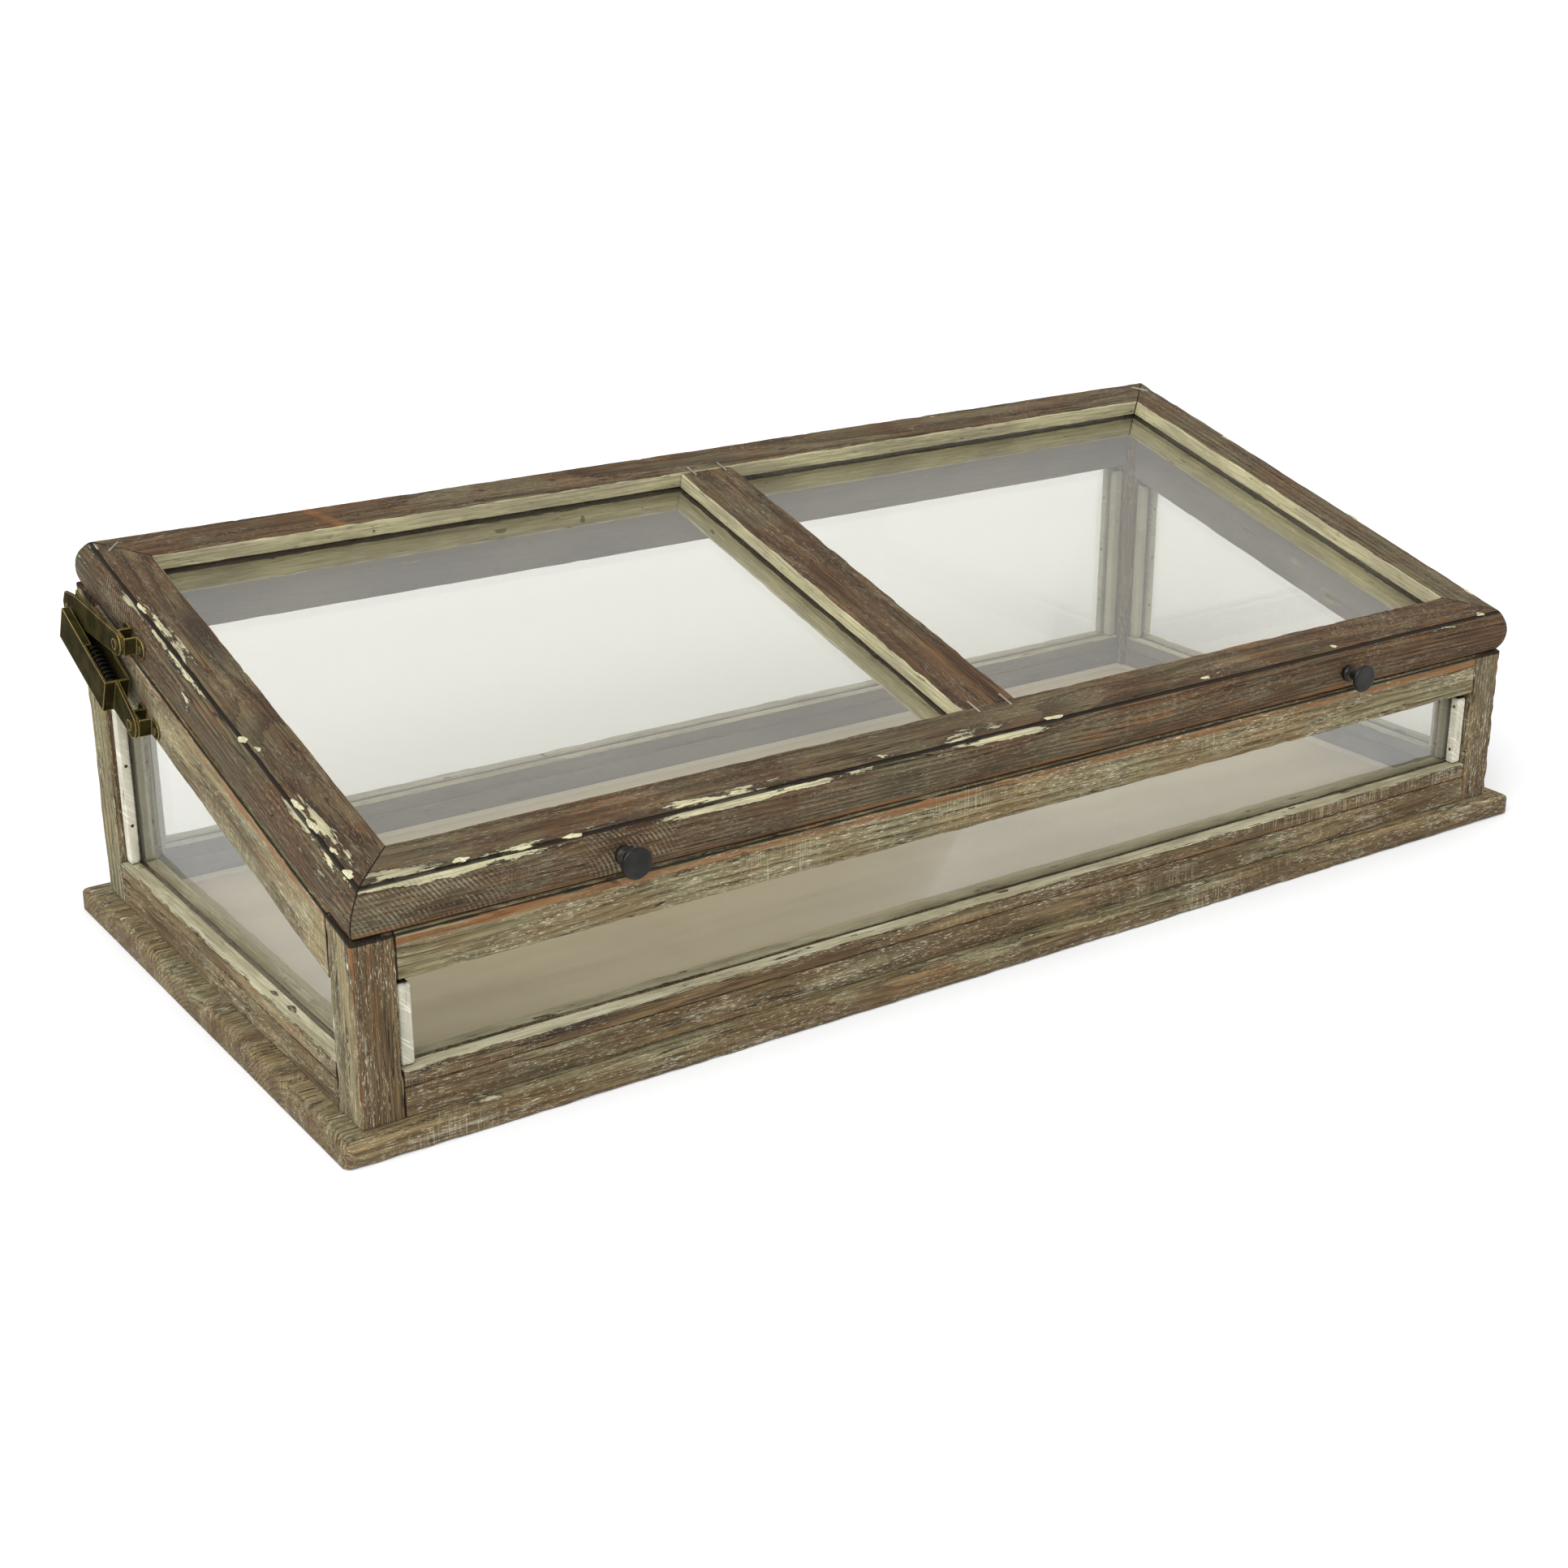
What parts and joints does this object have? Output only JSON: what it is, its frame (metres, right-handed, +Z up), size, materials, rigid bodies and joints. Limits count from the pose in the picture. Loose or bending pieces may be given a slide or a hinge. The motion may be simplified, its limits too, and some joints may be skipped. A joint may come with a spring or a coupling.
{
  "type": "cold frame",
  "caption": "Low timber cold frame with glazed walls, a rounded base board, and a sloping glazed lid hinged at the rear, with pull knobs and a folding spring stay.",
  "frame": {"origin": "centre of the body's footprint on the underside of the base, where it rests", "axes": "+X along the length to the right as seen from the front, +Y from the low front to the tall rear, +Z up"},
  "size_m": [1.1045, 0.5178, 0.3039],
  "materials": {
    "body_timber": "weathered, worn whitewash",
    "lid_timber": "weathered dark stain with old cream paint",
    "painted_bead": "thin worn off-white paint",
    "pale_ply": "bare, matt",
    "clear_glass": "clear, polished",
    "antique_brass": "dark antique finish worn to brass at the edges",
    "spring_steel": "blackened",
    "dark_bronze": "dark bronze, satin",
    "aged_steel": "antique brown",
    "dull_steel": "dull"
  },
  "bodies": {
    "body": {"base_board_front": "body_timber", "base_board_middle": "body_timber", "base_board_rear": "body_timber", "bead_pins": "dull_steel", "bottom_rail_front": "body_timber", "bottom_rail_left": "body_timber", "bottom_rail_rear": "body_timber", "bottom_rail_right": "body_timber", "floor_panel": "pale_ply", "glass_front": "clear_glass", "glass_left": "clear_glass", "glass_rear": "clear_glass", "glass_right": "clear_glass", "hinge_body_leaf_left": "aged_steel", "hinge_body_leaf_right": "aged_steel", "hinge_body_screws": "aged_steel", "hinge_pins": "aged_steel", "inner_beads_front": "painted_bead", "inner_beads_left": "painted_bead", "inner_beads_rear": "painted_bead", "inner_beads_right": "painted_bead", "outer_beads_front": "painted_bead", "outer_beads_left": "painted_bead", "outer_beads_rear": "painted_bead", "outer_beads_right": "painted_bead", "post_front_left": "body_timber", "post_front_right": "body_timber", "post_rear_left": "body_timber", "post_rear_right": "body_timber", "sill_front": "body_timber", "sill_left": "body_timber", "sill_rear": "body_timber", "sill_right": "body_timber", "stay_body_bracket": "antique_brass", "stay_body_rivet": "antique_brass", "stay_body_screws": "antique_brass", "top_rail_front": "body_timber", "top_rail_left": "body_timber", "top_rail_rear": "body_timber", "top_rail_right": "body_timber"},
    "lid": {"hinge_lid_leaf_left": "aged_steel", "hinge_lid_leaf_right": "aged_steel", "hinge_lid_screws": "aged_steel", "knob_left": "dark_bronze", "knob_right": "dark_bronze", "lid_centre_bar": "lid_timber", "lid_front_rail": "lid_timber", "lid_glass_left": "clear_glass", "lid_glass_right": "clear_glass", "lid_left_stile": "lid_timber", "lid_rear_rail": "lid_timber", "lid_right_stile": "lid_timber", "lid_staples": "dull_steel", "stay_lid_bracket": "antique_brass", "stay_lid_rivet": "antique_brass", "stay_lid_screws": "antique_brass"},
    "arm": {"stay_arm": "antique_brass", "stay_knuckle_pin": "antique_brass"},
    "channel": {"stay_channel": "antique_brass", "stay_spring": "spring_steel"}
  },
  "joints": [
    {"name": "lid_hinge", "type": "hinge", "parent": "body", "child": "lid", "pos_m": [0, 0.24055, 0.27143], "axis": [-1, 0, 0], "range_deg": [0, 75]},
    {"name": "arm_pivot", "type": "hinge", "parent": "lid", "child": "arm", "pos_m": [-0.545, 0.11168, 0.25623], "axis": [-1, 0, 0], "range_deg": [0, 14.81]},
    {"name": "channel_pivot", "type": "hinge", "parent": "body", "child": "channel", "pos_m": [-0.545, 0.09682, 0.19922], "axis": [1, 0, 0], "range_deg": [0, 16.57]}
  ],
  "couplings": [
    {"joint": "arm_pivot", "follows": "lid_hinge", "ratio": 0.19076},
    {"joint": "channel_pivot", "follows": "lid_hinge", "ratio": 0.21425}
  ]
}
